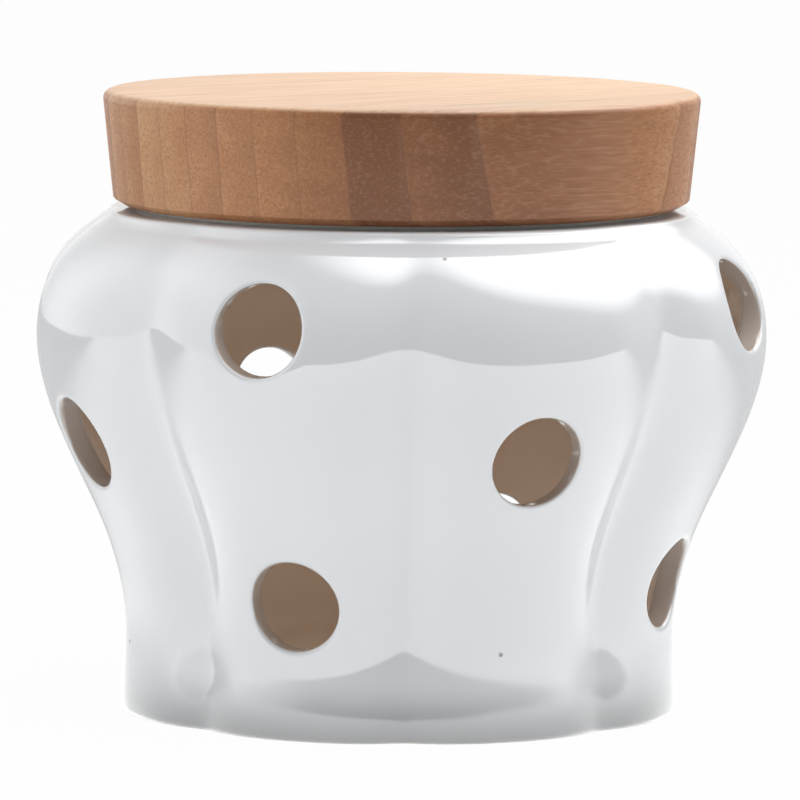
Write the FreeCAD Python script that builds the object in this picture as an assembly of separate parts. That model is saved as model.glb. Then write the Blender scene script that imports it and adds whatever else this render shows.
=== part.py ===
import FreeCAD, Part
import math
import os

# Garlic keeper: a fluted ceramic jar with vent holes and a laminated bamboo lid.
# Millimetres. Origin at the middle of the foot, +Z up, the front of the jar towards -Y.

# Outer profile of the jar: height, radius at the middle of a lobe, depth of the crease beside it
LOBE_COUNT = 8
JAR_PROFILE = [
    (0.0, 51.0, 2.0),
    (4.0, 50.8, 2.0),
    (10.0, 50.3, 2.2),
    (16.0, 50.1, 2.7),
    (24.0, 51.4, 3.7),
    (32.0, 53.9, 4.6),
    (40.0, 57.5, 5.1),
    (48.0, 61.3, 5.1),
    (56.0, 64.5, 4.8),
    (64.0, 66.3, 4.3),
    (71.0, 66.2, 3.6),
    (77.0, 64.4, 2.8),
    (82.0, 61.0, 2.1),
    (86.0, 56.3, 1.8),
    (89.0, 51.6, 1.3),
]
LOBE_FULLNESS = 3.2
CREASE_ROUNDING_DEG = 3.0
POINTS_PER_LOBE = 14

# Wall, floor and mouth of the jar
WALL = 4.5
FLOOR = 5.0
FOOT_RECESS_DEPTH = 1.5
FOOT_RING_WIDTH = 7.0
MOUTH_RADIUS = 44.0
RIM_DEPTH = 8.7
LIP_DEPTH = 3.0
LIP_LAP = 6.0
SHOULDER_WALL = 6.3

# Vent holes, punched level by hand: lobe, height, and the turn in degrees from the lobe's middle.
# Lobes with a middle hole take turns with lobes that have an upper and a lower one.
HOLE_RADIUS = 7.9
VENT_HOLES = [
    (0, 50.1, 0.0),
    (1, 73.4, 0.0),
    (1, 24.1, 0.0),
    (2, 50.1, 0.0),
    (3, 73.4, 0.0),
    (3, 24.1, 0.0),
    (4, 49.6, 1.8),
    (5, 72.7, -0.6),
    (5, 23.7, 0.5),
    (6, 50.2, -1.2),
    (7, 74.2, 0.0),
    (7, 24.4, 0.0),
]

# Lid: turned from a glued bamboo blank, wider at the top than at the bottom
LID_THICKNESS = 20.2
LID_TOP_RADIUS = 53.2
LID_TAPER = 1.8
LID_TOP_ROUNDING = 1.5
LID_CHAMFER_IN = 1.9
LID_CHAMFER_UP = 1.1
STRIP_COUNT = 15
BLANK_TRIM = 1.6
STRIP_NORMAL_DEG = -51.0

# Plug: a disc glued under the lid, with the silicone seal in a groove round it
PLUG_CLEARANCE = 2.0
PLUG_DEPTH = 9.0
PLUG_CHAMFER = 0.8
FLANGE_THICKNESS = 0.8
FLANGE_WIDTH = 3.2
SEAL_HEIGHT = 4.0
SEAL_DROP = 2.5
SEAL_GROOVE = 2.2
SEAL_CLEARANCE = 0.3
SEAL_SLACK = 0.05
SEAL_EDGE = 0.5

AXIS = FreeCAD.Vector(0, 0, 1)
LOBE_ANGLE = 2 * math.pi / LOBE_COUNT
RIM_HEIGHT = JAR_PROFILE[-1][0]
FLOOR_TOP = FOOT_RECESS_DEPTH + FLOOR
LID_BOTTOM = RIM_HEIGHT + FLANGE_THICKNESS
LID_BOTTOM_RADIUS = LID_TOP_RADIUS - LID_TAPER
STRIP_WIDTH = (2 * LID_TOP_RADIUS + BLANK_TRIM) / STRIP_COUNT
PLUG_RADIUS = MOUTH_RADIUS - PLUG_CLEARANCE
OVERRUN = 5.0


def at(radius, angle, height):
    return FreeCAD.Vector(radius * math.cos(angle), radius * math.sin(angle), height)


def crease_share(angle):
    """1 at the bottom of a crease, falling to 0 at the middle of the lobe."""
    rounding = math.radians(CREASE_ROUNDING_DEG)
    half = LOBE_ANGLE / 2
    away = abs((angle + half) % LOBE_ANGLE - half)
    travel = math.hypot(away, rounding) - rounding
    full = math.hypot(half, rounding) - rounding
    return (1 - travel / full) ** LOBE_FULLNESS


def lobe_curve(height, lobe_radius, crease_depth):
    """One lobe's outline, from the bottom of one crease to the bottom of the next."""
    points = []
    for step in range(POINTS_PER_LOBE + 1):
        angle = LOBE_ANGLE * step / POINTS_PER_LOBE
        points.append(at(lobe_radius - crease_depth * crease_share(angle), angle, height))
    outline = Part.BSplineCurve()
    outline.interpolate(Points=points, InitialTangent=at(1, math.pi / 2, 0),
                        FinalTangent=at(1, math.pi / 2 + LOBE_ANGLE, 0))
    return outline.toShape()


def lobed_wire(height, lobe_radius, crease_depth):
    first = lobe_curve(height, lobe_radius, crease_depth)
    edges = []
    for lobe in range(LOBE_COUNT):
        edge = first.copy()
        edge.rotate(at(0, 0, 0), AXIS, math.degrees(lobe * LOBE_ANGLE))
        edges.append(edge)
    return Part.Wire(edges)


def lobed_solid(sections):
    return Part.makeLoft([lobed_wire(*section) for section in sections], True, False)


def profile_at(height):
    """Lobe radius and crease depth of the outside at any height."""
    for low, high in zip(JAR_PROFILE, JAR_PROFILE[1:]):
        if low[0] <= height <= high[0]:
            share = (height - low[0]) / (high[0] - low[0])
            return [low[i] + share * (high[i] - low[i]) for i in (1, 2)]


def jar_hollow():
    """The space inside: it follows the lobes, then draws in under the rim."""
    shoulder = RIM_HEIGHT - RIM_DEPTH
    heights = [FLOOR_TOP] + [row[0] for row in JAR_PROFILE if FLOOR_TOP < row[0] < shoulder - WALL]
    sections = []
    for height in heights:
        lobe, crease = profile_at(height)
        sections.append((height, lobe - WALL, crease))
    lobe, crease = profile_at(shoulder)
    sections.append((shoulder, lobe - SHOULDER_WALL, crease / 2))
    sections.append((RIM_HEIGHT - LIP_DEPTH, MOUTH_RADIUS - LIP_LAP, 0))
    return lobed_solid(sections)


def mouth_bore():
    depth = RIM_DEPTH - LIP_LAP / 2
    return Part.makeCylinder(MOUTH_RADIUS, depth + OVERRUN, at(0, 0, RIM_HEIGHT - depth))


def vent_bores():
    bores = []
    for lobe, height, turn in VENT_HOLES:
        angle = LOBE_ANGLE * (lobe + 0.5) + math.radians(turn)
        bores.append(Part.makeCylinder(HOLE_RADIUS, 2 * MOUTH_RADIUS, at(0, 0, height), at(1, angle, 0)))
    return bores


def ceramic_body():
    foot_radius = JAR_PROFILE[0][1] - JAR_PROFILE[0][2] - FOOT_RING_WIDTH
    recess = Part.makeCylinder(foot_radius, FOOT_RECESS_DEPTH + OVERRUN, at(0, 0, -OVERRUN))
    shell = lobed_solid(JAR_PROFILE).cut(jar_hollow())
    return shell.cut([mouth_bore(), recess] + vent_bores())


def turned(points_and_arcs):
    """A solid of revolution: each item is a point (radius, height) or three points of an arc."""
    edges = []
    last = None
    for item in points_and_arcs:
        if isinstance(item[0], tuple):
            start, middle, end = [at(radius, 0, height) for radius, height in item]
            if last and last.distanceToPoint(start) > 1e-6:
                edges.append(Part.makeLine(last, start))
            edges.append(Part.Arc(start, middle, end).toShape())
            last = end
        else:
            point = at(item[0], 0, item[1])
            if last:
                edges.append(Part.makeLine(last, point))
            last = point
    edges.append(Part.makeLine(last, edges[0].Vertexes[0].Point))
    return Part.Face(Part.Wire(edges)).revolve(at(0, 0, 0), AXIS, 360)


def lid_blank():
    """The whole turned disc of the lid, before it is parted into its strips."""
    bottom = LID_BOTTOM
    top = bottom + LID_THICKNESS
    rounding = LID_TOP_ROUNDING
    knee = rounding * (1 - math.sqrt(0.5))
    return turned([
        (0, bottom),
        (LID_BOTTOM_RADIUS - LID_CHAMFER_IN, bottom),
        (LID_BOTTOM_RADIUS, bottom + LID_CHAMFER_UP),
        ((LID_TOP_RADIUS, top - rounding),
         (LID_TOP_RADIUS - knee, top - knee),
         (LID_TOP_RADIUS - rounding, top)),
        (0, top),
    ])


def lid_strips():
    """The glued strips, side by side across the disc; the last one is trimmed narrower."""
    blank = lid_blank()
    reach = LID_TOP_RADIUS
    strips = []
    for number in range(STRIP_COUNT):
        start = STRIP_WIDTH * number - reach
        slab = Part.makeBox(STRIP_WIDTH, 2 * reach, LID_THICKNESS, FreeCAD.Vector(start, -reach, LID_BOTTOM))
        slab.rotate(at(0, 0, 0), AXIS, STRIP_NORMAL_DEG)
        strips.append(blank.common(slab))
    return strips


def lid_plug():
    """The disc under the lid that drops into the mouth, grooved for the seal."""
    plug_end = LID_BOTTOM - PLUG_DEPTH
    groove_top = LID_BOTTOM - SEAL_DROP
    groove_end = groove_top - SEAL_HEIGHT
    groove_radius = PLUG_RADIUS - SEAL_GROOVE
    return turned([
        (0, plug_end),
        (PLUG_RADIUS - PLUG_CHAMFER, plug_end),
        (PLUG_RADIUS, plug_end + PLUG_CHAMFER),
        (PLUG_RADIUS, groove_end),
        (groove_radius, groove_end),
        (groove_radius, groove_top),
        (PLUG_RADIUS, groove_top),
        (PLUG_RADIUS, LID_BOTTOM),
        (0, LID_BOTTOM),
    ])


def lid_seal_ring():
    """A silicone ring: a foot in the plug's groove, and a flange that the lid rests on."""
    foot_inner = PLUG_RADIUS - SEAL_GROOVE + SEAL_SLACK
    band_inner = PLUG_RADIUS + SEAL_SLACK
    outer = MOUTH_RADIUS - SEAL_CLEARANCE
    foot_top = LID_BOTTOM - SEAL_DROP - SEAL_SLACK
    bottom = LID_BOTTOM - SEAL_DROP - SEAL_HEIGHT + SEAL_SLACK
    return turned([
        (foot_inner, bottom),
        (outer - SEAL_EDGE, bottom),
        (outer, bottom + SEAL_EDGE),
        (outer, RIM_HEIGHT),
        (MOUTH_RADIUS + FLANGE_WIDTH, RIM_HEIGHT),
        (MOUTH_RADIUS + FLANGE_WIDTH, LID_BOTTOM),
        (band_inner, LID_BOTTOM),
        (band_inner, foot_top),
        (foot_inner, foot_top),
    ])


def write(name, shape):
    solids = shape.Solids
    solid = solids[0] if len(solids) == 1 else Part.makeCompound(solids)
    if not solid.isValid():
        raise ValueError(name + " is not a valid solid")
    box = solid.BoundBox
    print(name, len(solids), round(solid.Volume / 1000, 2), "cm3, z", round(box.ZMin, 2), round(box.ZMax, 2))
    solid.exportStep("parts/" + name + ".step")


os.makedirs("parts", exist_ok=True)
write("ceramic_body", ceramic_body())
for number, strip in enumerate(lid_strips(), 1):
    write("lid_strip_%02d" % number, strip)
write("lid_plug", lid_plug())
write("lid_seal_ring", lid_seal_ring())
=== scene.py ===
import math

import bmesh
import bpy
import numpy as np
from mathutils import Matrix, Vector


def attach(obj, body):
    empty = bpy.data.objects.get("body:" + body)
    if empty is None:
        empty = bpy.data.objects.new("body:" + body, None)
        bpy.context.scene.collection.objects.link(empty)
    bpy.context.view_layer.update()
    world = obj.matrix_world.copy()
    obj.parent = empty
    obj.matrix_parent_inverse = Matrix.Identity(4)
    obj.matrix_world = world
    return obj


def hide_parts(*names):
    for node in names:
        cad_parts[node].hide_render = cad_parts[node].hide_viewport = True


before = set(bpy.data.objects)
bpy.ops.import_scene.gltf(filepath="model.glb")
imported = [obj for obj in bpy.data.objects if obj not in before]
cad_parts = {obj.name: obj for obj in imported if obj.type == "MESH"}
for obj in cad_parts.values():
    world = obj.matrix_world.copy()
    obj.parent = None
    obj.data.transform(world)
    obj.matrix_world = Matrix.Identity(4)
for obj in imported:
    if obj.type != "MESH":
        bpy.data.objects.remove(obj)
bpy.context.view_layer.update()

# A garlic keeper: a white jar with eight lobes and twelve vents, under a lid of laminated bamboo
# with a plug and a silicone seal. The sizes of the keeper are in millimetres and those of the
# room in metres, which every finished mesh is in too.
MM = 0.001

# The jar: height, radius at the middle of a lobe, depth of the crease beside it
LOBE_COUNT = 8
JAR_PROFILE = [
    (0.0, 51.0, 2.0),
    (4.0, 50.8, 2.0),
    (10.0, 50.3, 2.2),
    (16.0, 50.1, 2.7),
    (24.0, 51.4, 3.7),
    (32.0, 53.9, 4.6),
    (40.0, 57.5, 5.1),
    (48.0, 61.3, 5.1),
    (56.0, 64.5, 4.8),
    (64.0, 66.3, 4.3),
    (71.0, 66.2, 3.6),
    (77.0, 64.4, 2.8),
    (82.0, 61.0, 2.1),
    (86.0, 56.3, 1.8),
    (89.0, 51.6, 1.3),
]
LOBE_FULLNESS = 3.2
CREASE_ROUNDING = math.radians(3.0)
RIM_HEIGHT = JAR_PROFILE[-1][0]

# Its wall, floor, foot and mouth
WALL = 4.5
SHOULDER_WALL = 6.3
FLOOR = 5.0
FOOT_RECESS_DEPTH = 1.5
FOOT_RING_WIDTH = 7.0
FLOOR_TOP = FOOT_RECESS_DEPTH + FLOOR
MOUTH_RADIUS = 44.0
RIM_DEPTH = 8.7
LIP_DEPTH = 3.0
LIP_LAP = 6.0
BORE_DEPTH = 5.2

# Vent holes as punched: lobe, height, and the turn in degrees from the lobe's middle
HOLE_RADIUS = 7.9
VENT_HOLES = [
    (0, 50.1, 0.0),
    (1, 73.4, 0.0),
    (1, 24.1, 0.0),
    (2, 50.1, 0.0),
    (3, 73.4, 0.0),
    (3, 24.1, 0.0),
    (4, 49.6, 1.8),
    (5, 72.7, -0.6),
    (5, 23.7, 0.5),
    (6, 50.2, -1.2),
    (7, 74.2, 0.0),
    (7, 24.4, 0.0),
]

# Roundings that the glaze leaves. The rim's reaches further in than down, by RIM_LEAN.
FOOT_ROUNDING = 1.2
RIM_ROUNDING = 0.9
RIM_LEAN = 1.3
MOUTH_ROUNDING = 0.8
HOLE_LIP = 0.8
FLOOR_ROUNDING = 4.0

# The turn from the hollow underside down to the foot ring: out from the ring's inner edge, height
FOOT_TURN = [(-0.5, 1.5), (-0.1, 1.3), (0.0, 0.6), (0.2, 0.15), (0.6, 0.0)]

# Clay is bare below this height, and the glaze on the flat of the rim is this thin, from 0 to 1
BARE_BELOW = 0.3
RIM_THINNESS = 0.6

# How finely the jar is meshed: columns round it, rows up it, rings on flats and round holes
COLUMNS_PER_LOBE = 32
ROW_STEP = 1.3
ROUND_STEPS = 4
FLOOR_ROUND_STEPS = 6
PATCH_HALF = 8
PATCH_RINGS = 4
WALL_STEPS = 4
DISC_RINGS = 14
FLAT_SHARES = (0.33, 0.66)
BORE_RING_DEPTHS = (2.0, 3.2, 4.4)

# Rounds of the search for a point of a wall, and how near points have to be to merge, in metres
SEARCH_ROUNDS = 14
MERGE_DISTANCE = 1e-7

LOBE_ANGLE = 2 * math.pi / LOBE_COUNT
COLUMNS = LOBE_COUNT * COLUMNS_PER_LOBE
COLUMN_ANGLES = 2 * math.pi * np.arange(COLUMNS) / COLUMNS

# The lid's disc, turned from a blank of glued strips
FLANGE_THICKNESS = 0.8
LID_BOTTOM = RIM_HEIGHT + FLANGE_THICKNESS
LID_THICKNESS = 20.2
LID_TOP_RADIUS = 53.2
LID_TAPER = 1.8
LID_BOTTOM_RADIUS = LID_TOP_RADIUS - LID_TAPER
LID_TOP_ROUNDING = 1.5
LID_CHAMFER_IN = 1.9
LID_CHAMFER_UP = 1.1
LID_CHAMFER_EASE_IN = 0.25
LID_CHAMFER_EASE_UP = 0.15
LID_SEGMENTS = 256
LID_ROUND_STEPS = 8
STRIP_COUNT = 15
BLANK_TRIM = 1.6
STRIP_WIDTH = (2 * LID_TOP_RADIUS + BLANK_TRIM) / STRIP_COUNT
STRIP_NORMAL = math.radians(-51.0)

# The slab that cuts a strip out of the blank reaches well past it
SLAB_SIZE = 4 * LID_TOP_RADIUS

# The lid's plug, and the seal in a groove round the plug
PLUG_CLEARANCE = 2.0
PLUG_RADIUS = MOUTH_RADIUS - PLUG_CLEARANCE
PLUG_DEPTH = 9.0
PLUG_CHAMFER = 0.8
SEAL_HEIGHT = 4.0
SEAL_DROP = 2.5
SEAL_GROOVE = 2.2
SEAL_CLEARANCE = 0.3
SEAL_SLACK = 0.05
FLANGE_WIDTH = 3.2
FLANGE_EASE = 0.2
RIB_COUNT = 3
RIB_DEPTH = 0.5
RIB_POINTS = 24

# Edges that turn by more degrees than this stay crisp
CRISP_BAMBOO = 25.0
CRISP_SILICONE = 40.0

# Where most of a noise's values lie
NOISE_RANGE = (0.3, 0.7)


# Nodes

class Value:
    """What a node gives, for use in an expression, where each operator adds a Math node."""

    def __init__(self, graph, socket):
        self.graph = graph
        self.socket = socket

    def _math(self, operation, *values):
        return self.graph.node("ShaderNodeMath", {"operation": operation}, *values)

    def __add__(self, other):
        return self._math("ADD", self, other)

    def __radd__(self, other):
        return self._math("ADD", other, self)

    def __sub__(self, other):
        return self._math("SUBTRACT", self, other)

    def __rsub__(self, other):
        return self._math("SUBTRACT", other, self)

    def __mul__(self, other):
        return self._math("MULTIPLY", self, other)

    def __rmul__(self, other):
        return self._math("MULTIPLY", other, self)

    def __truediv__(self, other):
        return self._math("DIVIDE", self, other)

    def __rtruediv__(self, other):
        return self._math("DIVIDE", other, self)

    def __abs__(self):
        return self._math("ABSOLUTE", self)

    def floor(self):
        return self._math("FLOOR", self)

    def fract(self):
        return self._math("FRACT", self)


class Graph:
    """Adds nodes to a tree, one call for each, and hands back what they give."""

    def __init__(self, tree):
        self.tree = tree
        tree.nodes.clear()

    def node(self, kind, settings=None, *inputs, out=0, **named):
        """Adds a node. Its settings come first, then its inputs, in their order or by name, where
        None leaves one alone. out is the number or the name of the output that comes back."""
        made = self.tree.nodes.new(kind)
        for key, value in (settings or {}).items():
            if key == "stops":
                self._set_stops(made.color_ramp, value)
            elif key == "interpolation":
                made.color_ramp.interpolation = value
            else:
                setattr(made, key, value)
        for key, value in [*enumerate(inputs), *named.items()]:
            if value is not None:
                self._fill(self._input(made, key), value)
        outputs = [output for output in made.outputs if output.enabled]
        return Value(self, made.outputs[out] if isinstance(out, str) else outputs[out])

    def end(self, kind, result):
        """Adds the tree's last node, which takes the result."""
        self.tree.links.new(result.socket, self.tree.nodes.new(kind).inputs[0])

    def _fill(self, target, value):
        if isinstance(value, Value):
            self.tree.links.new(value.socket, target)
        else:
            target.default_value = (*value, 1) if target.type == "RGBA" else value

    @staticmethod
    def _input(made, key):
        if isinstance(key, int):
            return made.inputs[key]
        wanted = key.replace("_", " ").lower()
        return next(s for s in made.inputs if s.enabled and s.name.lower() == wanted)

    @staticmethod
    def _set_stops(ramp, stops):
        while len(ramp.elements) < len(stops):
            ramp.elements.new(1.0)
        for element, (place, colour) in zip(ramp.elements, stops):
            element.position = place
            element.color = (*colour, 1)

    def place(self, kind="Object"):
        return self.node("ShaderNodeTexCoord", None, out=kind)

    def mark(self, name):
        """A mark that the mesh carries at each of its points."""
        return self.node("ShaderNodeAttribute", {"attribute_name": name}, out="Fac")

    def split(self, vector):
        made = self.node("ShaderNodeSeparateXYZ", None, vector).socket.node
        return [Value(self, output) for output in made.outputs]

    def join(self, x, y, z):
        return self.node("ShaderNodeCombineXYZ", None, x, y, z)

    def span(self, value, low, high, to_low=0.0, to_high=1.0, smooth=True):
        """Maps low to high onto to_low to to_high, and stays there outside them."""
        kind = "SMOOTHSTEP" if smooth else "LINEAR"
        settings = {"interpolation_type": kind}
        return self.node("ShaderNodeMapRange", settings, value, low, high, to_low, to_high)

    def mix(self, factor, first, second):
        return self.node("ShaderNodeMix", {"data_type": "RGBA"}, Factor=factor, A=first, B=second)

    def noise(self, vector, scale, detail, roughness=0.5):
        sizes = {"Scale": scale, "Detail": detail, "Roughness": roughness}
        return self.node("ShaderNodeTexNoise", None, vector, **sizes)

    def bump(self, height, strength, distance):
        sizes = {"Strength": strength, "Distance": distance}
        return self.node("ShaderNodeBump", None, Height=height, **sizes)

    def glow(self, strength):
        return self.node("ShaderNodeEmission", None, Strength=strength)

    def blend(self, factor, first, second):
        """Mixes two shaders."""
        return self.node("ShaderNodeMixShader", None, factor, first, second)

    def ray_is(self, kind):
        return self.node("ShaderNodeLightPath", None, out=f"Is {kind} Ray")


def new_material(name):
    material = bpy.data.materials.new(name)
    material.use_nodes = True
    return material, Graph(material.node_tree)


def srgb(red, green, blue):
    """A colour given as 0 to 255 in sRGB, as the shaders need it."""
    def linear(value):
        value /= 255
        return value / 12.92 if value <= 0.04045 else ((value + 0.055) / 1.055) ** 2.4
    return (linear(red), linear(green), linear(blue))


# White glaze: colours, then how strongly each shows, from 0 to 1

GLAZE = srgb(231, 233, 235)
GLAZE_THIN = srgb(221, 222, 223)
# Painted light: the inside is painted paler and warmer than the outer glaze, standing in for light that
# bounces about inside
GLAZE_INSIDE_PAINTED_LIGHT = srgb(250, 240, 226)
# Painted shade: the glaze in the vents' bores is painted darker and browner
GLAZE_PAINTED_BORE_SHADE = srgb(196, 184, 174)
# Painted shade: the grey that the glaze is painted towards the foot
GLAZE_PAINTED_FOOT_SHADE = srgb(140, 141, 141)
CLAY = srgb(214, 208, 198)
CLAY_DARK = srgb(190, 182, 170)
SPECK = srgb(92, 82, 74)
THIN_IN_CLOUDS = 0.35
THIN_ON_EDGES = 0.5
FOOT_SHADE_DEPTH = 0.8
SPECK_DEPTH = 0.8

# Its patterns, in waves per metre, and the relief that they leave, in metres
CLOUDS = 30.0
CLOUD_EDGE = (0.3, 0.75)
SWELLS = 45.0
CLAY_GRAIN = 900.0
CLAY_GRAIN_SHARE = 0.3
RELIEF = 0.0005
RELIEF_STRENGTH = 0.15

# Heights between which the glaze is painted greyer towards the foot as shade, and its specks,
# which fade out over SPECK_EDGE times their radius, all in metres
FOOT_SHADE_FROM = 0.001
FOOT_SHADE_TO = 0.011
SPECKS = [(0.00628, -0.05646, 0.08496), (0.01675, -0.04719, 0.01545), (-0.04796, -0.01435, 0.01284)]
SPECK_RADIUS = 0.0003
SPECK_EDGE = 1.6

# Roughness of the glaze, and what is added inside the jar and on bare clay
GLAZE_ROUGHNESS = (0.05, 0.09)
ROUGHER_INSIDE = 0.3
ROUGHER_CLAY = 0.65
GLAZE_IOR = 1.6


def glaze_material():
    """White gloss glaze on slip-cast clay: it pools unevenly and thins at the edges."""
    material, g = new_material("white_glaze")
    place = g.place()
    inside = g.mark("inside")
    bare = g.mark("bare")
    cloud = g.noise(place, CLOUDS, detail=1.0)
    grain = g.noise(place, CLAY_GRAIN, detail=2.0)
    colour = g.mix(g.span(cloud, *CLOUD_EDGE) * THIN_IN_CLOUDS, GLAZE, GLAZE_THIN)
    colour = g.mix(g.mark("edge") * THIN_ON_EDGES, colour, GLAZE_THIN)
    # Painted shade: the glaze is painted greyer towards the foot
    foot_shade = g.span(g.split(place)[2], FOOT_SHADE_FROM, FOOT_SHADE_TO, FOOT_SHADE_DEPTH, 0.0)
    colour = g.mix(foot_shade, colour, GLAZE_PAINTED_FOOT_SHADE)
    for speck in SPECKS:
        gap = g.node("ShaderNodeVectorMath", {"operation": "DISTANCE"}, place, speck, out="Value")
        spot = g.span(gap, SPECK_RADIUS, SPECK_RADIUS * SPECK_EDGE, SPECK_DEPTH, 0.0)
        colour = g.mix(spot, colour, SPECK)
    # Painted light: the paler, warmer inside stands in for light that bounces about in the jar
    colour = g.mix(inside, colour, GLAZE_INSIDE_PAINTED_LIGHT)
    # Painted shade in the vents' bores, under the bore mark
    colour = g.mix(g.mark("bore"), colour, GLAZE_PAINTED_BORE_SHADE)
    colour = g.mix(bare, colour, g.mix(grain, CLAY, CLAY_DARK))
    gloss = g.span(cloud, *NOISE_RANGE, *GLAZE_ROUGHNESS)
    rough = gloss + inside * ROUGHER_INSIDE + bare * ROUGHER_CLAY
    relief = g.noise(place, SWELLS, detail=1.0) + grain * bare * CLAY_GRAIN_SHARE
    normal = g.bump(relief, RELIEF_STRENGTH, RELIEF)
    finish = g.node("ShaderNodeBsdfPrincipled", None, Base_Color=colour, Roughness=rough,
                    Normal=normal, IOR=GLAZE_IOR)
    g.end("ShaderNodeOutputMaterial", finish)
    return material


# Laminated bamboo: colours, and how pale each strip is, from 0 to 1, in the order of their
# numbers. A tone starts TONE_START of a strip's width past the strip's edge.

BAMBOO_DARK = srgb(118, 73, 45)
BAMBOO_MIDDLE = srgb(176, 120, 78)
BAMBOO_PALE = srgb(216, 168, 122)
# Painted sheen: faces that look up are painted paler, as their lacquer catches light at a glancing view
BAMBOO_TOP_SHEEN = srgb(222, 186, 150)
FIBRE = srgb(112, 74, 50)
FIBRE_PALE = srgb(226, 196, 166)
GLUE = srgb(104, 68, 46)
STRIP_TONES = [0.6, 0.5, 0.66, 0.6, 0.76, 0.7, 0.88, 0.8, 0.62, 0.62, 0.54, 0.42, 0.06, 0.18, 0.22]
TONE_START = 0.001

# What else makes a place paler: painted light and shade by its way along the strips in metres,
# broad bands, the side of a strip
PAINTED_LIGHTING_FROM = -0.026
PAINTED_LIGHTING_TO = 0.036
PAINTED_LIGHTING_PALENESS = (-0.14, 0.36)
BAND_PALENESS = 0.3
SIDE_PALENESS = 0.18

# Its patterns, in waves per metre across the strips and along them, how far each moves on from
# strip to strip, and how far its fibres wander to the side
WANDER = (60, 14)
BANDS = (190, 7)
FIBRES = (1300, 38)
BUNDLES = (2300, 130)
STRIP_STEP = 0.137
BAND_STEP = 40
FIBRE_STEP = 100
BUNDLE_STEP = 300
WANDER_SIZE = 0.9
BUNDLE_WANDER = 2

# Where each begins and is full: the top by how far a face looks up, fibres by their noise, bundles
# and pores by the distance from a cell's middle, the glue by the distance from a strip's middle
TOP_EDGE = (0.55, 0.95)
FIBRE_EDGE = (0.45, 0.75)
BUNDLE_EDGE = (0.2, 0.42)
PORE_EDGE = (0.55, 0.8)
GLUE_EDGE = (0.468, 0.497)

# How strongly each shows, from 0 to 1, and the roughness and relief that the fibres leave
TOP_SHEEN_DEPTH = 0.72
FIBRE_DEPTH = 0.3
BUNDLE_DEPTH = 0.4
BUNDLES_GONE_ON_TOP = 0.75
BUNDLES_AT_FAR_SIDE = 0.35
PORE_DEPTH = 0.08
GLUE_DEPTH = 0.3
GLUE_LESS_ON_TOP = 0.2
BAMBOO_ROUGHNESS = (0.36, 0.5)
BAMBOO_RELIEF = 0.00012
BAMBOO_RELIEF_STRENGTH = 0.2
FIBRE_RELIEF = 0.5
BUNDLE_RELIEF = -0.6
BAMBOO_IOR = 1.35
LACQUER = 0.08
LACQUER_ROUGHNESS = 0.2


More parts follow.
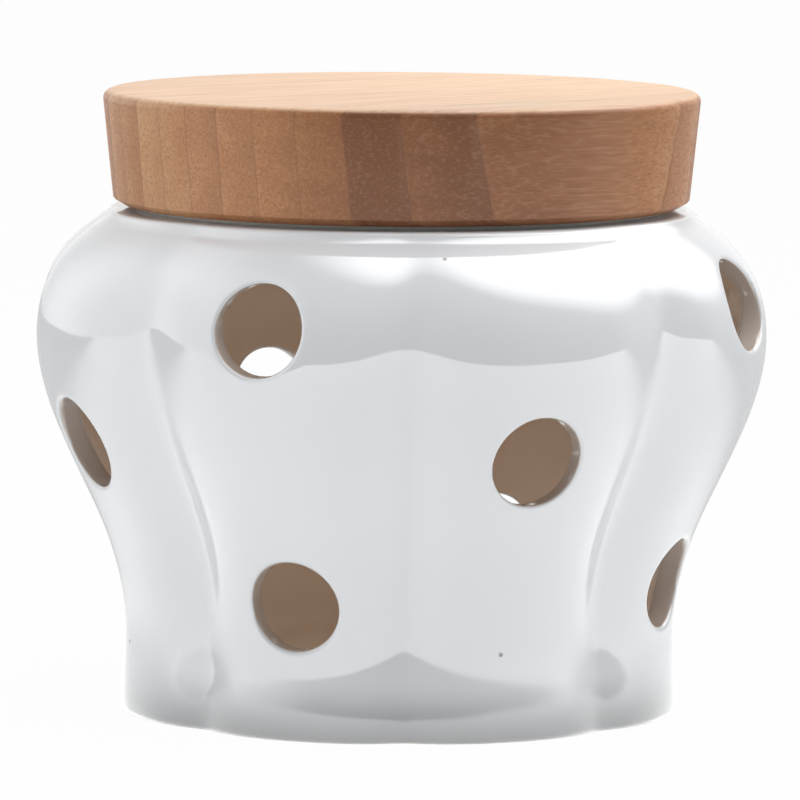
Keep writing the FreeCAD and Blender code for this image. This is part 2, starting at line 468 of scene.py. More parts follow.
def bamboo_material():
    """Laminated bamboo: strips of their own tone, with bundles that show as dots on end grain and
    as streaks along it, under a thin satin lacquer."""
    material, g = new_material("laminated_bamboo")
    x, y, z = g.split(g.place())
    across = x * math.cos(STRIP_NORMAL) + y * math.sin(STRIP_NORMAL)
    along = y * math.cos(STRIP_NORMAL) - x * math.sin(STRIP_NORMAL)
    turns = (across + LID_TOP_RADIUS * MM) / (STRIP_WIDTH * MM)
    strip = turns.floor()
    within = turns.fract()
    shift = strip * STRIP_STEP

    def drawn_out(pattern, moved=None, swayed=None):
        """Places for a pattern that is fine across the strips and long along them."""
        side = across * pattern[0]
        up = z * pattern[0]
        if moved:
            up = up + moved
        if swayed:
            side = side + swayed
            up = up + swayed
        return g.join(side, up, along * pattern[1])

    wander = g.noise(drawn_out(WANDER), 1.0, detail=2.0) * WANDER_SIZE
    strands = drawn_out(FIBRES, shift * FIBRE_STEP, wander)
    fibre = g.noise(strands, 1.0, detail=2.0, roughness=0.55)
    band = g.noise(drawn_out(BANDS, shift * BAND_STEP), 1.0, detail=2.0)
    cells = drawn_out(BUNDLES, shift * BUNDLE_STEP, wander * BUNDLE_WANDER)
    bundle = g.node("ShaderNodeTexVoronoi", {"feature": "F1"}, cells, Scale=1.0, Randomness=0.9,
                    out="Distance")
    upward = g.split(g.node("ShaderNodeNewGeometry", None, out="Normal"))[2]
    top = g.span(upward, *TOP_EDGE)
    dots = g.span(bundle, *BUNDLE_EDGE, 1.0, 0.0) * (1 - top * BUNDLES_GONE_ON_TOP)
    crowd = g.span(within, 0.0, 1.0, 1.0, BUNDLES_AT_FAR_SIDE, smooth=False)
    pores = g.span(bundle, *PORE_EDGE) * (1 - top)
    joint = g.span(abs(within - 0.5), *GLUE_EDGE)

    starts = [(number + TONE_START) / STRIP_COUNT for number in range(STRIP_COUNT)]
    greys = [(tone, tone, tone) for tone in STRIP_TONES]
    by_strip = {"stops": list(zip(starts, greys)), "interpolation": "CONSTANT"}
    tone = g.node("ShaderNodeValToRGB", by_strip, (strip + 0.5) / STRIP_COUNT)
    # Painted light and shade: the lid is painted darker at one end along the strips and paler at the
    # other
    painted_lighting = g.span(along, PAINTED_LIGHTING_FROM, PAINTED_LIGHTING_TO, *PAINTED_LIGHTING_PALENESS)
    pale = tone + painted_lighting + (band - 0.5) * BAND_PALENESS + (0.5 - within) * SIDE_PALENESS
    shades = [(0.0, BAMBOO_DARK), (0.5, BAMBOO_MIDDLE), (1.0, BAMBOO_PALE)]
    colour = g.node("ShaderNodeValToRGB", {"stops": shades}, pale)
    # Painted sheen: faces that look up are painted paler
    colour = g.mix(top * TOP_SHEEN_DEPTH, colour, BAMBOO_TOP_SHEEN)
    colour = g.mix(g.span(fibre, *FIBRE_EDGE) * FIBRE_DEPTH, colour, FIBRE)
    colour = g.mix(dots * crowd * BUNDLE_DEPTH, colour, FIBRE)
    colour = g.mix(pores * PORE_DEPTH, colour, FIBRE_PALE)
    colour = g.mix(joint * (GLUE_DEPTH - top * GLUE_LESS_ON_TOP), colour, GLUE)
    rough = g.span(fibre, *NOISE_RANGE, *BAMBOO_ROUGHNESS)
    relief = fibre * FIBRE_RELIEF + dots * BUNDLE_RELIEF
    normal = g.bump(relief, BAMBOO_RELIEF_STRENGTH, BAMBOO_RELIEF)
    finish = g.node("ShaderNodeBsdfPrincipled", None, Base_Color=colour, Roughness=rough,
                    Normal=normal, IOR=BAMBOO_IOR, Coat_Weight=LACQUER,
                    Coat_Roughness=LACQUER_ROUGHNESS)
    g.end("ShaderNodeOutputMaterial", finish)
    return material


# Silicone

SILICONE = srgb(226, 224, 218)
SILICONE_DARK = srgb(214, 212, 206)
SILICONE_GRAIN = 1400.0
SILICONE_ROUGHNESS = (0.45, 0.6)
SILICONE_RELIEF = 0.0001
SILICONE_RELIEF_STRENGTH = 0.2


def silicone_material():
    """Pale silicone with a fine matt skin."""
    material, g = new_material("silicone_seal")
    grain = g.noise(g.place(), SILICONE_GRAIN, detail=2.0)
    finish = g.node("ShaderNodeBsdfPrincipled", None,
                    Base_Color=g.mix(grain, SILICONE, SILICONE_DARK),
                    Roughness=g.span(grain, *NOISE_RANGE, *SILICONE_ROUGHNESS),
                    Normal=g.bump(grain, SILICONE_RELIEF_STRENGTH, SILICONE_RELIEF))
    g.end("ShaderNodeOutputMaterial", finish)
    return material


# The jar's shape

class Curve:
    """A natural cubic through the columns of a profile, as a function of height."""

    def __init__(self, rows):
        table = np.array(rows, float)
        self.x = table[:, 0]
        self.y = table[:, 1:]
        gap = np.diff(self.x)
        count = len(self.x)
        left = np.eye(count)
        right = np.zeros((count, self.y.shape[1]))
        slope = np.diff(self.y, axis=0) / gap[:, None]
        for i in range(1, count - 1):
            left[i, i - 1:i + 2] = gap[i - 1], 2 * (gap[i - 1] + gap[i]), gap[i]
            right[i] = 6 * (slope[i] - slope[i - 1])
        self.bend = np.linalg.solve(left, right)

    def __call__(self, height):
        height = np.asarray(height, float)
        i = np.clip(np.searchsorted(self.x, height) - 1, 0, len(self.x) - 2)
        gap = self.x[i + 1] - self.x[i]
        a = ((self.x[i + 1] - height) / gap)[..., None]
        b = 1 - a
        square = (gap ** 2 / 6)[..., None]
        return (a * self.y[i] + b * self.y[i + 1]
                + ((a ** 3 - a) * self.bend[i] + (b ** 3 - b) * self.bend[i + 1]) * square)


def inner_profile():
    """The inner face: the outer one less the wall, and from the shoulder in under the mouth."""
    outside = Curve(JAR_PROFILE)
    shoulder = RIM_HEIGHT - RIM_DEPTH
    heights = [row[0] for row in JAR_PROFILE if FLOOR_TOP < row[0] < shoulder - WALL]
    rows = []
    for height in [FLOOR_TOP, *heights]:
        lobe, crease = outside(height)
        rows.append((height, lobe - WALL, crease))
    lobe, crease = outside(shoulder)
    rows.append((shoulder, lobe - SHOULDER_WALL, crease / 2))
    rows.append((RIM_HEIGHT - LIP_DEPTH, MOUTH_RADIUS - LIP_LAP, 0))
    return Curve(rows)


def crease_share(angle):
    """1 at the bottom of a crease, falling to 0 at the middle of a lobe."""
    half = LOBE_ANGLE / 2
    away = np.abs((angle + half) % LOBE_ANGLE - half)
    travel = np.hypot(away, CREASE_ROUNDING) - CREASE_ROUNDING
    full = math.hypot(half, CREASE_ROUNDING) - CREASE_ROUNDING
    return (1 - travel / full) ** LOBE_FULLNESS


def quarter_turn(steps, first=1):
    """The angles of a quarter turn in even steps, for a rounding."""
    for step in range(first, steps + 1):
        yield math.pi / 2 * step / steps


class Wall:
    """One face of the jar's wall: a radius for every angle and height, and its rows of points.

    inward is 1 where the clay lies towards the axis from this face, and -1 where it lies away
    from it. inside is the mark that its points get."""

    def __init__(self, curve, inward, inside):
        self.curve = curve
        self.inward = inward
        self.inside = inside
        self.heights = None
        self.starts = None

    def radius(self, angle, height):
        lobe, crease = np.moveaxis(self.curve(height), -1, 0)
        return lobe - crease * crease_share(angle)

    def all_round(self, height):
        return self.radius(COLUMN_ANGLES, np.full(COLUMNS, height))

    def beside(self, middle, side, height):
        """How far out the face lies at a distance to the side of a lobe's middle plane."""
        angle = np.zeros_like(side)
        for _ in range(SEARCH_ROUNDS):
            angle = np.arcsin(side / self.radius(middle + angle, height))
        return self.radius(middle + angle, height) * np.cos(angle)

    def lay_rows(self, shell, start, end, laid=()):
        """Adds a ring for each height from start to end, less those that are laid already."""
        self.heights = np.linspace(start, end, round(abs(end - start) / ROW_STEP) + 1)
        self.starts = list(laid)
        for height in self.heights[len(laid):]:
            self.starts.append(shell.ring(self.all_round(height), height, inside=self.inside))

    def square_round(self, hole):
        """The square of cells that a hole's patch replaces: its border and its cells, both as
        row and column."""
        lobe, height, _ = hole
        centre = lobe * COLUMNS_PER_LOBE + COLUMNS_PER_LOBE // 2
        nearest = np.argmin(np.abs(self.heights - height))
        middle = int(np.clip(nearest, PATCH_HALF, len(self.heights) - 1 - PATCH_HALF))
        low, high = middle - PATCH_HALF, middle + PATCH_HALF
        left, right = centre - PATCH_HALF, centre + PATCH_HALF
        border = [(low, column) for column in range(left, right)]
        border += [(row, right) for row in range(low, high)]
        border += [(high, column) for column in range(right, left, -1)]
        border += [(row, left) for row in range(high, low, -1)]
        cells = {(row, column) for row in range(low, high) for column in range(left, right)}
        return border, cells

    def add_cells(self, shell):
        """Adds the faces between the rows, apart from those that the holes' patches replace."""
        gone = set()
        for hole in VENT_HOLES:
            gone |= self.square_round(hole)[1]
        for row, (low, high) in enumerate(zip(self.starts, self.starts[1:])):
            shell.bridge(low, high, {column for at, column in gone if at == row})

    def open_hole(self, shell, hole):
        """Fills the square round a hole, rounds the hole's lip, and returns the loop at its end."""
        lobe, height, skew = hole
        middle = LOBE_ANGLE * (lobe + 0.5) + math.radians(skew)
        out = np.array([math.cos(middle), math.sin(middle)])
        across = np.array([-out[1], out[0]])
        border, _ = self.square_round(hole)
        loop = [self.starts[row] + column for row, column in border]
        heights = np.array([self.heights[row] for row, _ in border])
        angles = COLUMN_ANGLES[[column for _, column in border]]
        side = self.radius(angles, heights) * np.sin(angles - middle)
        turn = np.arctan2(heights - height, side)

        def points_at(side_now, height_now, sunk):
            depth = self.beside(middle, side_now, height_now) - self.inward * sunk
            flat = depth[:, None] * out + side_now[:, None] * across
            return np.column_stack([flat, height_now])

        start_radius = HOLE_RADIUS + HOLE_LIP
        for step in range(1, PATCH_RINGS + 1):
            share = step / PATCH_RINGS
            side_now = side + share * (start_radius * np.cos(turn) - side)
            height_now = heights + share * (height + start_radius * np.sin(turn) - heights)
            loop = shell.extend(loop, points_at(side_now, height_now, 0.0), inside=self.inside)
        for bend in quarter_turn(ROUND_STEPS):
            radius = HOLE_RADIUS + HOLE_LIP * (1 - math.sin(bend))
            sunk = HOLE_LIP * (1 - math.cos(bend))
            points = points_at(radius * np.cos(turn), height + radius * np.sin(turn), sunk)
            # The inner half of the lip takes the bore mark, under which the glaze is painted darker as
            # shade
            loop = shell.extend(loop, points, inside=self.inside / 2, edge=1, bore=bend > math.pi / 4)
        return loop


class Shell:
    """Collects the points, faces and marks of the jar's mesh."""

    def __init__(self):
        self.points = []
        self.faces = []
        self.marks = {"inside": [], "bare": [], "edge": [], "bore": []}
        self.count = 0

    def add(self, points, **marks):
        """Adds points with their marks, from 0 to 1, and returns the number of the first."""
        start = self.count
        points = np.asarray(points, float)
        self.points.append(points)
        self.count += len(points)
        for name, values in self.marks.items():
            values.append(np.full(len(points), float(marks.get(name, 0))))
        return start

    def ring(self, radius, height, **marks):
        radius = np.broadcast_to(radius, COLUMN_ANGLES.shape)
        height = np.broadcast_to(height, COLUMN_ANGLES.shape)
        points = np.stack([radius * np.cos(COLUMN_ANGLES), radius * np.sin(COLUMN_ANGLES), height], 1)
        return self.add(points, **marks)

    def bridge(self, low, high, skip=()):
        """Adds the faces between two rings, apart from the columns in skip."""
        for column in range(COLUMNS):
            if column not in skip:
                after = (column + 1) % COLUMNS
                self.faces.append((low + column, low + after, high + after, high + column))

    def bridge_all(self, rings):
        for low, high in zip(rings, rings[1:]):
            self.bridge(low, high)

    def cap(self, ring, height, **marks):
        """Closes a ring with a point on the axis."""
        middle = self.add([(0, 0, height)], **marks)
        for column in range(COLUMNS):
            self.faces.append((ring + column, ring + (column + 1) % COLUMNS, middle))

    def join_loops(self, first, second):
        """Adds the faces between two closed loops of as many points each."""
        for k in range(len(first)):
            n = (k + 1) % len(first)
            self.faces.append((first[k], first[n], second[n], second[k]))

    def extend(self, loop, points, **marks):
        """Adds points as a new loop, joins it to the last one, and returns it."""
        start = self.add(points, **marks)
        fresh = list(range(start, start + len(loop)))
        self.join_loops(loop, fresh)
        return fresh


def add_underside(shell, outer):
    """The hollow underside, the foot ring and the rounding outside it. Returns the last ring."""
    ring_inner = JAR_PROFILE[0][1] - JAR_PROFILE[0][2] - FOOT_RING_WIDTH
    ring_outer = outer.all_round(FOOT_ROUNDING)
    flat = ring_outer - FOOT_ROUNDING - ring_inner

    def ring(radius, height):
        return shell.ring(radius, height, bare=height < BARE_BELOW)

    rings = [ring(ring_inner * k / DISC_RINGS, FOOT_RECESS_DEPTH) for k in range(1, DISC_RINGS)]
    shell.cap(rings[0], FOOT_RECESS_DEPTH)
    rings += [ring(ring_inner + outward, height) for outward, height in FOOT_TURN]
    rings += [ring(ring_inner + share * flat, 0.0) for share in FLAT_SHARES]
    for bend in quarter_turn(ROUND_STEPS, first=0):
        radius = ring_outer - FOOT_ROUNDING * (1 - math.sin(bend))
        rings.append(ring(radius, FOOT_ROUNDING * (1 - math.cos(bend))))
    shell.bridge_all(rings)
    return rings[-1]


def add_rim(shell, outer):
    """The rim's rounding, its flat seat, the mouth's rounding and its bore. Returns the last ring."""
    top = RIM_HEIGHT - RIM_ROUNDING
    rim_outer = outer.all_round(top)
    rings = [outer.starts[-1]]
    for bend in quarter_turn(ROUND_STEPS):
        radius = rim_outer - RIM_ROUNDING * (1 - math.cos(bend)) * RIM_LEAN
        rings.append(shell.ring(radius, top + RIM_ROUNDING * math.sin(bend), edge=1))
    seat_outer = rim_outer - RIM_ROUNDING * RIM_LEAN
    for share in (*FLAT_SHARES, 1.0):
        radius = seat_outer + share * (MOUTH_RADIUS + MOUTH_ROUNDING - seat_outer)
        rings.append(shell.ring(radius, RIM_HEIGHT, edge=RIM_THINNESS))
    for bend in quarter_turn(ROUND_STEPS):
        radius = MOUTH_RADIUS + MOUTH_ROUNDING * (1 - math.sin(bend))
        rings.append(shell.ring(radius, RIM_HEIGHT - MOUTH_ROUNDING * (1 - math.cos(bend)), edge=1))
    for depth in BORE_RING_DEPTHS:
        rings.append(shell.ring(MOUTH_RADIUS, RIM_HEIGHT - depth))
    shell.bridge_all(rings)
    return rings[-1]


def add_floor(shell, inner):
    """The rounding at the foot of the inner face, and the floor."""
    bottom = FLOOR_TOP + FLOOR_ROUNDING
    corner = inner.all_round(bottom)
    rings = [inner.starts[-1]]
    for bend in quarter_turn(FLOOR_ROUND_STEPS):
        radius = corner - FLOOR_ROUNDING * (1 - math.cos(bend))
        rings.append(shell.ring(radius, bottom - FLOOR_ROUNDING * math.sin(bend), inside=1))
    floor_edge = corner - FLOOR_ROUNDING
    for k in range(DISC_RINGS - 1, 0, -1):
        rings.append(shell.ring(floor_edge * k / DISC_RINGS, FLOOR_TOP, inside=1))
    shell.bridge_all(rings)
    shell.cap(rings[-1], FLOOR_TOP, inside=1)


def lined_up(shell, front, back):
    """The back loop, turned so that each of its points lies behind one of the front's."""
    points = np.concatenate(shell.points)
    turned = []
    for order in (back, back[::-1]):
        turned += [order[start:] + order[:start] for start in range(len(order))]
    gaps = [float(((points[loop] - points[front]) ** 2).sum()) for loop in turned]
    return turned[gaps.index(min(gaps))]


def join_through(shell, front, back):
    """The bore of a vent, from the lip outside to the lip inside."""
    points = np.concatenate(shell.points)
    loop = front
    for step in range(1, WALL_STEPS):
        share = step / WALL_STEPS
        # The bore's points take the bore mark, under which the glaze is painted darker as shade
        loop = shell.extend(loop, points[front] * (1 - share) + points[back] * share, bore=1)
    shell.join_loops(loop, back)


def jar_skin():
    """The whole jar, from the middle of its underside over the rim to the middle of its floor."""
    shell = Shell()
    outer = Wall(Curve(JAR_PROFILE), inward=1, inside=0)
    inner = Wall(inner_profile(), inward=-1, inside=1)
    foot = add_underside(shell, outer)
    outer.lay_rows(shell, FOOT_ROUNDING, RIM_HEIGHT - RIM_ROUNDING, laid=[foot])
    bore_end = add_rim(shell, outer)
    inner.lay_rows(shell, RIM_HEIGHT - BORE_DEPTH, FLOOR_TOP + FLOOR_ROUNDING)
    shell.bridge(bore_end, inner.starts[0])
    add_floor(shell, inner)
    for wall in (outer, inner):
        wall.add_cells(shell)
    for hole in VENT_HOLES:
        front = outer.open_hole(shell, hole)
        back = inner.open_hole(shell, hole)
        join_through(shell, front, lined_up(shell, front, back))
    return shell


def finished(name, mesh, material, body):
    """Makes a mesh an object that rides on its body with its finish."""
    piece = bpy.data.objects.new(name, mesh)
    bpy.context.scene.collection.objects.link(piece)
    mesh.materials.clear()
    mesh.materials.append(material)
    for polygon in mesh.polygons:
        polygon.use_smooth = True
    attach(piece, body)
    return piece


def point_outwards(mesh):
    """Merges doubled points, so that the faces are one skin, and turns them all outwards."""
    made = bmesh.new()
    made.from_mesh(mesh)
    bmesh.ops.remove_doubles(made, verts=made.verts, dist=MERGE_DISTANCE)
    bmesh.ops.recalc_face_normals(made, faces=made.faces)
    made.to_mesh(mesh)
    made.free()


def make_jar():
    shell = jar_skin()
    points = np.concatenate(shell.points) * MM
    mesh = bpy.data.meshes.new("jar")
    mesh.from_pydata(points.tolist(), [], shell.faces)
    for name, values in shell.marks.items():
        layer = mesh.attributes.new(name, "FLOAT", "POINT")
        layer.data.foreach_set("value", np.concatenate(values))
    point_outwards(mesh)
    jar = finished("jar", mesh, glaze_material(), "jar")
    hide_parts("ceramic_body")


# The lid

def turned_mesh(name, outline):
    """An outline of radius and height turned about the axis. Where it doesn't start on the axis,
    it is closed into a hollow ring."""
    points, faces, rings = [], [], []
    for radius, height in outline:
        if radius == 0:
            rings.append([len(points)])
            points.append((0, 0, height * MM))
            continue
        start = len(points)
        rings.append(list(range(start, start + LID_SEGMENTS)))
        for k in range(LID_SEGMENTS):
            angle = 2 * math.pi * k / LID_SEGMENTS
            points.append((radius * MM * math.cos(angle), radius * MM * math.sin(angle), height * MM))
    pairs = list(zip(rings, rings[1:]))
    if len(rings[0]) > 1:
        pairs.append((rings[-1], rings[0]))
    for low, high in pairs:
        for k in range(LID_SEGMENTS):
            n = (k + 1) % LID_SEGMENTS
            if len(low) == 1:
                faces.append((low[0], high[n], high[k]))
            elif len(high) == 1:
                faces.append((low[k], low[n], high[0]))
            else:
                faces.append((low[k], low[n], high[n], high[k]))
    mesh = bpy.data.meshes.new(name)
    mesh.from_pydata(points, [], faces)
    point_outwards(mesh)
    return mesh


def arc(centre, radius, start, end, steps):
    """Points on an arc, from one angle to another in degrees."""
    for k in range(steps + 1):
        angle = math.radians(start + (end - start) * k / steps)
        yield (centre[0] + radius * math.cos(angle), centre[1] + radius * math.sin(angle))


def disc_outline():
    """The lid's disc: chamfered below, tapering, and rounded over at the top."""
    top = LID_BOTTOM + LID_THICKNESS
    rounding = LID_TOP_ROUNDING
    chamfer_top = LID_BOTTOM + LID_CHAMFER_UP
    return [
        (0, LID_BOTTOM),
        (LID_BOTTOM_RADIUS - LID_CHAMFER_IN, LID_BOTTOM),
        (LID_BOTTOM_RADIUS - LID_CHAMFER_EASE_IN, chamfer_top - LID_CHAMFER_EASE_UP),
        (LID_BOTTOM_RADIUS, chamfer_top + LID_CHAMFER_EASE_UP),
        *arc((LID_TOP_RADIUS - rounding, top - rounding), rounding, 0, 90, LID_ROUND_STEPS),
        (0, top),
    ]


def plug_outline():
    """The plug under the disc, with a chamfer at its end and a groove for the seal."""
    plug_end = LID_BOTTOM - PLUG_DEPTH
    groove_top = LID_BOTTOM - SEAL_DROP
    groove_end = groove_top - SEAL_HEIGHT
    return [
        (0, plug_end),
        (PLUG_RADIUS - PLUG_CHAMFER, plug_end),
        (PLUG_RADIUS, plug_end + PLUG_CHAMFER),
        (PLUG_RADIUS, groove_end),
        (PLUG_RADIUS - SEAL_GROOVE, groove_end),
        (PLUG_RADIUS - SEAL_GROOVE, groove_top),
        (PLUG_RADIUS, groove_top),
        (PLUG_RADIUS, LID_BOTTOM),
        (0, LID_BOTTOM),
    ]


def seal_outline():
    """The seal: a foot in the groove, ribs that press on the mouth, a flange under the disc."""
    foot_inner = PLUG_RADIUS - SEAL_GROOVE + SEAL_SLACK
    foot_top = LID_BOTTOM - SEAL_DROP - SEAL_SLACK
    bottom = LID_BOTTOM - SEAL_DROP - SEAL_HEIGHT + SEAL_SLACK
    band_inner = PLUG_RADIUS + SEAL_SLACK
    rib_tip = MOUTH_RADIUS - SEAL_CLEARANCE
    flange = MOUTH_RADIUS + FLANGE_WIDTH
    ribs = []
    for k in range(1, RIB_POINTS):
        share = k / RIB_POINTS
        bulge = 0.5 - 0.5 * math.cos(2 * math.pi * RIB_COUNT * share)
        ribs.append((rib_tip - RIB_DEPTH * (1 - bulge), bottom + (RIM_HEIGHT - bottom) * share))
    return [
        (foot_inner, bottom),
        (rib_tip - RIB_DEPTH, bottom),
        *ribs,
        (rib_tip - RIB_DEPTH, RIM_HEIGHT),
        (flange - FLANGE_EASE, RIM_HEIGHT),
        (flange, RIM_HEIGHT + FLANGE_EASE),
        (flange, LID_BOTTOM - FLANGE_EASE),
        (flange - FLANGE_EASE, LID_BOTTOM),
        (band_inner, LID_BOTTOM),
        (band_inner, foot_top),
        (foot_inner, foot_top),
    ]


def strip_tree():
    """Keeps the part of the turned blank that lies in one strip of the laminate."""
    tree = bpy.data.node_groups.new("Laminate strip", "GeometryNodeTree")
    face = tree.interface
    face.new_socket("Geometry", in_out="INPUT", socket_type="NodeSocketGeometry")
    for name in ("Strip middle", "Strip height", "Strip width", "Strip turn", "Slab size"):
        face.new_socket(name, in_out="INPUT", socket_type="NodeSocketFloat")
    face.new_socket("Finish", in_out="INPUT", socket_type="NodeSocketMaterial")
    face.new_socket("Geometry", in_out="OUTPUT", socket_type="NodeSocketGeometry")
    g = Graph(tree)
    given = {output.name: Value(g, output) for output in tree.nodes.new("NodeGroupInput").outputs}
    size = g.join(given["Strip width"], given["Slab size"], given["Slab size"])
    slab = g.node("GeometryNodeMeshCube", None, Size=size)
    middle = g.join(given["Strip middle"], 0, given["Strip height"])
    placed = g.node("GeometryNodeTransform", None, Geometry=slab, Translation=middle)
    turn = g.join(0, 0, given["Strip turn"])
    turned = g.node("GeometryNodeTransform", None, Geometry=placed, Rotation=turn)
    shared = {"operation": "INTERSECT", "solver": "EXACT"}
    strip = g.node("GeometryNodeMeshBoolean", shared, None, given["Geometry"])
    tree.links.new(turned.socket, strip.socket.node.inputs[1])
    real = g.node("GeometryNodeRealizeInstances", None, strip)
    g.end("NodeGroupOutput", g.node("GeometryNodeSetMaterial", None, Geometry=real,
                                    Material=given["Finish"]))
    return tree


def grown(name, source, tree, values):
    """Runs a geometry tree on a mesh and returns the result as a plain mesh."""
    holder = bpy.data.objects.new(name + "_source", source)
    bpy.context.scene.collection.objects.link(holder)
    modifier = holder.modifiers.new("grow", "NODES")
    modifier.node_group = tree
    for item in tree.interface.items_tree:
        if item.in_out == "INPUT" and item.name in values:
            modifier[item.identifier] = values[item.name]
    evaluated = holder.evaluated_get(bpy.context.evaluated_depsgraph_get())
    mesh = bpy.data.meshes.new_from_object(evaluated)
    bpy.data.objects.remove(holder)
    mesh.name = name
    return mesh


def sharpen(mesh, degrees):
    """Marks the edges that stay crisp, which are those that turn by more than this."""
    made = bmesh.new()
    made.from_mesh(mesh)
    bmesh.ops.remove_doubles(made, verts=made.verts, dist=MERGE_DISTANCE)
    limit = math.radians(degrees)
    for edge in made.edges:
        edge.smooth = len(edge.link_faces) == 2 and edge.calc_face_angle(math.pi) < limit
    for face in made.faces:
        face.smooth = True
    made.to_mesh(mesh)
    made.free()


def make_strips(bamboo):
    """The disc, as the strips that it is glued from."""
    blank = turned_mesh("lid_blank", disc_outline())
    tree = strip_tree()
    for number in range(STRIP_COUNT):
        name = f"strip_{number + 1:02d}"
        mesh = grown(name, blank, tree, {
            "Strip middle": (STRIP_WIDTH * (number + 0.5) - LID_TOP_RADIUS) * MM,
            "Strip height": LID_BOTTOM * MM,
            "Strip width": STRIP_WIDTH * MM,
            "Strip turn": STRIP_NORMAL,
            "Slab size": SLAB_SIZE * MM,
            "Finish": bamboo,
        })
        sharpen(mesh, CRISP_BAMBOO)
        strip = finished("bamboo_" + name, mesh, bamboo, "lid")
        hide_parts("lid_" + name)


def make_plug(bamboo):
    mesh = turned_mesh("plug", plug_outline())
    sharpen(mesh, CRISP_BAMBOO)
    plug = finished("bamboo_plug", mesh, bamboo, "lid")
    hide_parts("lid_plug")


def make_seal():
    mesh = turned_mesh("seal", seal_outline())
    sharpen(mesh, CRISP_SILICONE)
    seal = finished("silicone_seal", mesh, silicone_material(), "lid")
    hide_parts("lid_seal_ring")


def make_lid():
    bamboo = bamboo_material()
    make_strips(bamboo)
    make_plug(bamboo)
    make_seal()


# The floor: a pale table that shows as white. The gloss sees it bright in front of the keeper
# and dimmer behind, and it fades from one to the other between two places along Y.

FLOOR_HALF = 3.0
FLOOR_FRONT = -0.72
FLOOR_COLOUR = (0.82, 0.82, 0.82)
FLOOR_WHITENESS = 0.97
FLOOR_GLOSS = 3.4
FLOOR_GLOSS_BEHIND = 0.7
FLOOR_GLOSS_FADE = (-0.09, 0.15)


def floor_material():
    material, g = new_material("pale_floor")
    matte = g.node("ShaderNodeBsdfDiffuse", None, Color=FLOOR_COLOUR)
    shown = g.blend(FLOOR_WHITENESS, matte, g.glow(1.0))
    fade = g.span(g.split(g.place())[1], *FLOOR_GLOSS_FADE)
    table = g.blend(fade, g.glow(FLOOR_GLOSS), g.glow(FLOOR_GLOSS_BEHIND))
    mirrored = g.blend(g.ray_is("Glossy"), matte, table)
    g.end("ShaderNodeOutputMaterial", g.blend(g.ray_is("Camera"), mirrored, shown))
    return material


def make_floor():
    mesh = bpy.data.meshes.new("floor")
    front = [(-FLOOR_HALF, FLOOR_FRONT, 0), (FLOOR_HALF, FLOOR_FRONT, 0)]
    back = [(FLOOR_HALF, FLOOR_HALF, 0), (-FLOOR_HALF, FLOOR_HALF, 0)]
    mesh.from_pydata(front + back, [], [(0, 1, 2, 3)])
    mesh.materials.append(floor_material())
    floor = bpy.data.objects.new("floor", mesh)
    bpy.context.scene.collection.objects.link(floor)


# The room: white to the camera, even light on the keeper, and to the gloss a dim room with soft
# patches, each a direction, its strength, and the cosines of the angles where it ends and is full

ROOM_LIGHT = 0.52
ROOM_COLOUR = (0.96, 0.98, 1.0)
ROOM_GLOSS = 0.25
GLOSS_PATCHES = [
    ((-0.35, 0.93, 0.1), 1.1, 0.35, 0.7),
    ((-0.98, 0.05, 0.2), 2.6, 0.45, 0.9),
    ((0.85, 0.5, 0.25), 0.8, 0.75, 0.97),
    ((0.46, 0.2, 0.85), 6.5, 0.7, 0.93),
]


def make_world():
    world = bpy.data.worlds.new("studio")
    bpy.context.scene.world = world
    world.use_nodes = True
    g = Graph(world.node_tree)

    def sky(strength, colour=(1, 1, 1)):
        return g.node("ShaderNodeBackground", None, Color=colour, Strength=strength)

    way = g.place("Generated")
    gloss = sky(ROOM_GLOSS)
    for direction, strength, outer, full in GLOSS_PATCHES:
        toward = Vector(direction).normalized()
        nearness = g.node("ShaderNodeVectorMath", {"operation": "DOT_PRODUCT"}, way, toward, out="Value")
        gloss = g.blend(g.span(nearness, outer, full), gloss, sky(strength))
    lit = g.blend(g.ray_is("Glossy"), sky(ROOM_LIGHT, ROOM_COLOUR), gloss)
    g.end("ShaderNodeOutputWorld", g.blend(g.ray_is("Camera"), lit, sky(1.0)))


# The softboxes: name, place, width, height, power in watts. The lamp inside the jar stands in
# for the light that bounces about in there.

SOFTBOX_AIM = (0, 0, 0.06)
SOFTBOXES = [
    ("softbox_right", (0.85, -0.1, 0.30), 0.5, 0.6, 0.75),
    ("softbox_left", (-0.85, -0.3, 0.25), 0.4, 0.7, 1.4),
    ("softbox_top", (0.25, -0.05, 0.88), 0.7, 0.75, 3.9),
]
INSIDE_LAMP_PLACE = (0, 0, 0.045)
INSIDE_LAMP_RADIUS = 0.02
INSIDE_LAMP_POWER = 0.006
INSIDE_LAMP_COLOUR = (1.0, 0.82, 0.72)


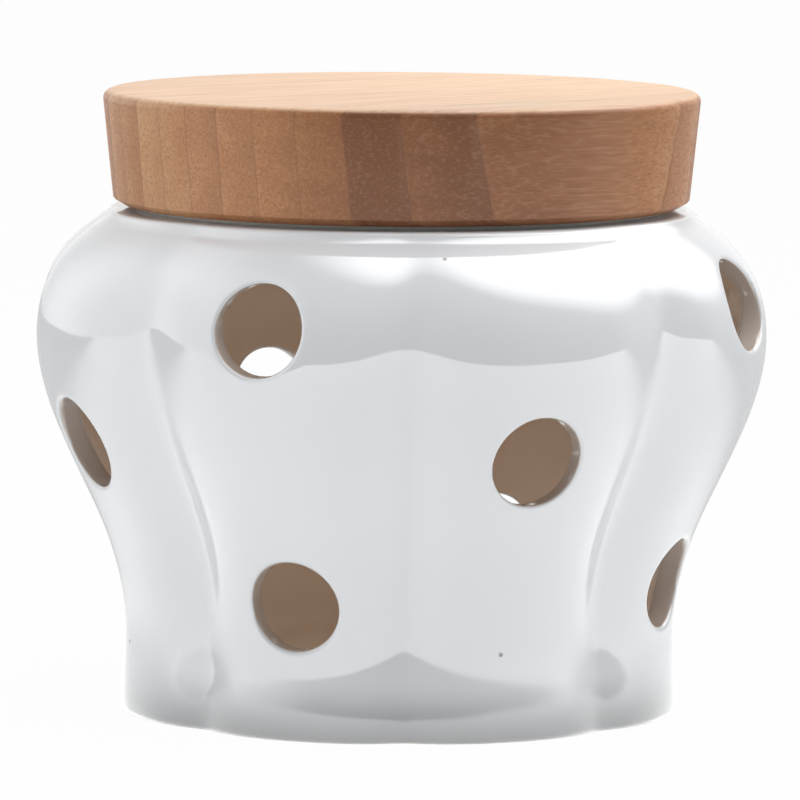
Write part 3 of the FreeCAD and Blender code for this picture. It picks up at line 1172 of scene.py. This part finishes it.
def add_lamp(name, kind, place, power):
    """Adds a lamp that doesn't show in the gloss."""
    data = bpy.data.lights.new(name, kind)
    data.energy = power
    lamp = bpy.data.objects.new(name, data)
    bpy.context.scene.collection.objects.link(lamp)
    lamp.location = place
    lamp.visible_glossy = False
    return lamp


def make_lamps():
    for name, place, width, height, power in SOFTBOXES:
        lamp = add_lamp(name, "AREA", place, power)
        lamp.data.shape = "RECTANGLE"
        lamp.data.size = width
        lamp.data.size_y = height
        lamp.rotation_euler = (Vector(SOFTBOX_AIM) - Vector(place)).to_track_quat("-Z", "Y").to_euler()
    lamp = add_lamp("light_through_the_vents", "POINT", INSIDE_LAMP_PLACE, INSIDE_LAMP_POWER)
    lamp.data.color = INSIDE_LAMP_COLOUR
    lamp.data.shadow_soft_size = INSIDE_LAMP_RADIUS
    lamp.visible_camera = False


# The camera: a long lens in front of the keeper, a little above it and turned a little

CAMERA_DISTANCE = 1.235
CAMERA_HEIGHT = 0.191
CAMERA_TURN = math.radians(1.2)
CAMERA_AIM = (0.0, 0.0, 0.0545)
CAMERA_ROLL = math.radians(0.4)
CAMERA_LENS = 312.4
CAMERA_SENSOR = 36.0
CAMERA_REACH = 20.0


def make_camera():
    data = bpy.data.cameras.new("camera")
    data.lens = CAMERA_LENS
    data.sensor_width = CAMERA_SENSOR
    data.sensor_fit = "HORIZONTAL"
    data.clip_end = CAMERA_REACH
    camera = bpy.data.objects.new("camera", data)
    bpy.context.scene.collection.objects.link(camera)
    left = CAMERA_DISTANCE * math.sin(CAMERA_TURN)
    forward = CAMERA_DISTANCE * math.cos(CAMERA_TURN)
    place = Vector((-left, -forward, CAMERA_HEIGHT))
    look = (Vector(CAMERA_AIM) - place).to_track_quat("-Z", "Y").to_matrix().to_4x4()
    camera.matrix_world = Matrix.Translation(place) @ look @ Matrix.Rotation(CAMERA_ROLL, 4, "Z")
    bpy.context.scene.camera = camera


make_camera()
make_jar()
make_lid()
make_floor()
make_world()
make_lamps()
bpy.context.scene.view_settings.view_transform = "Standard"
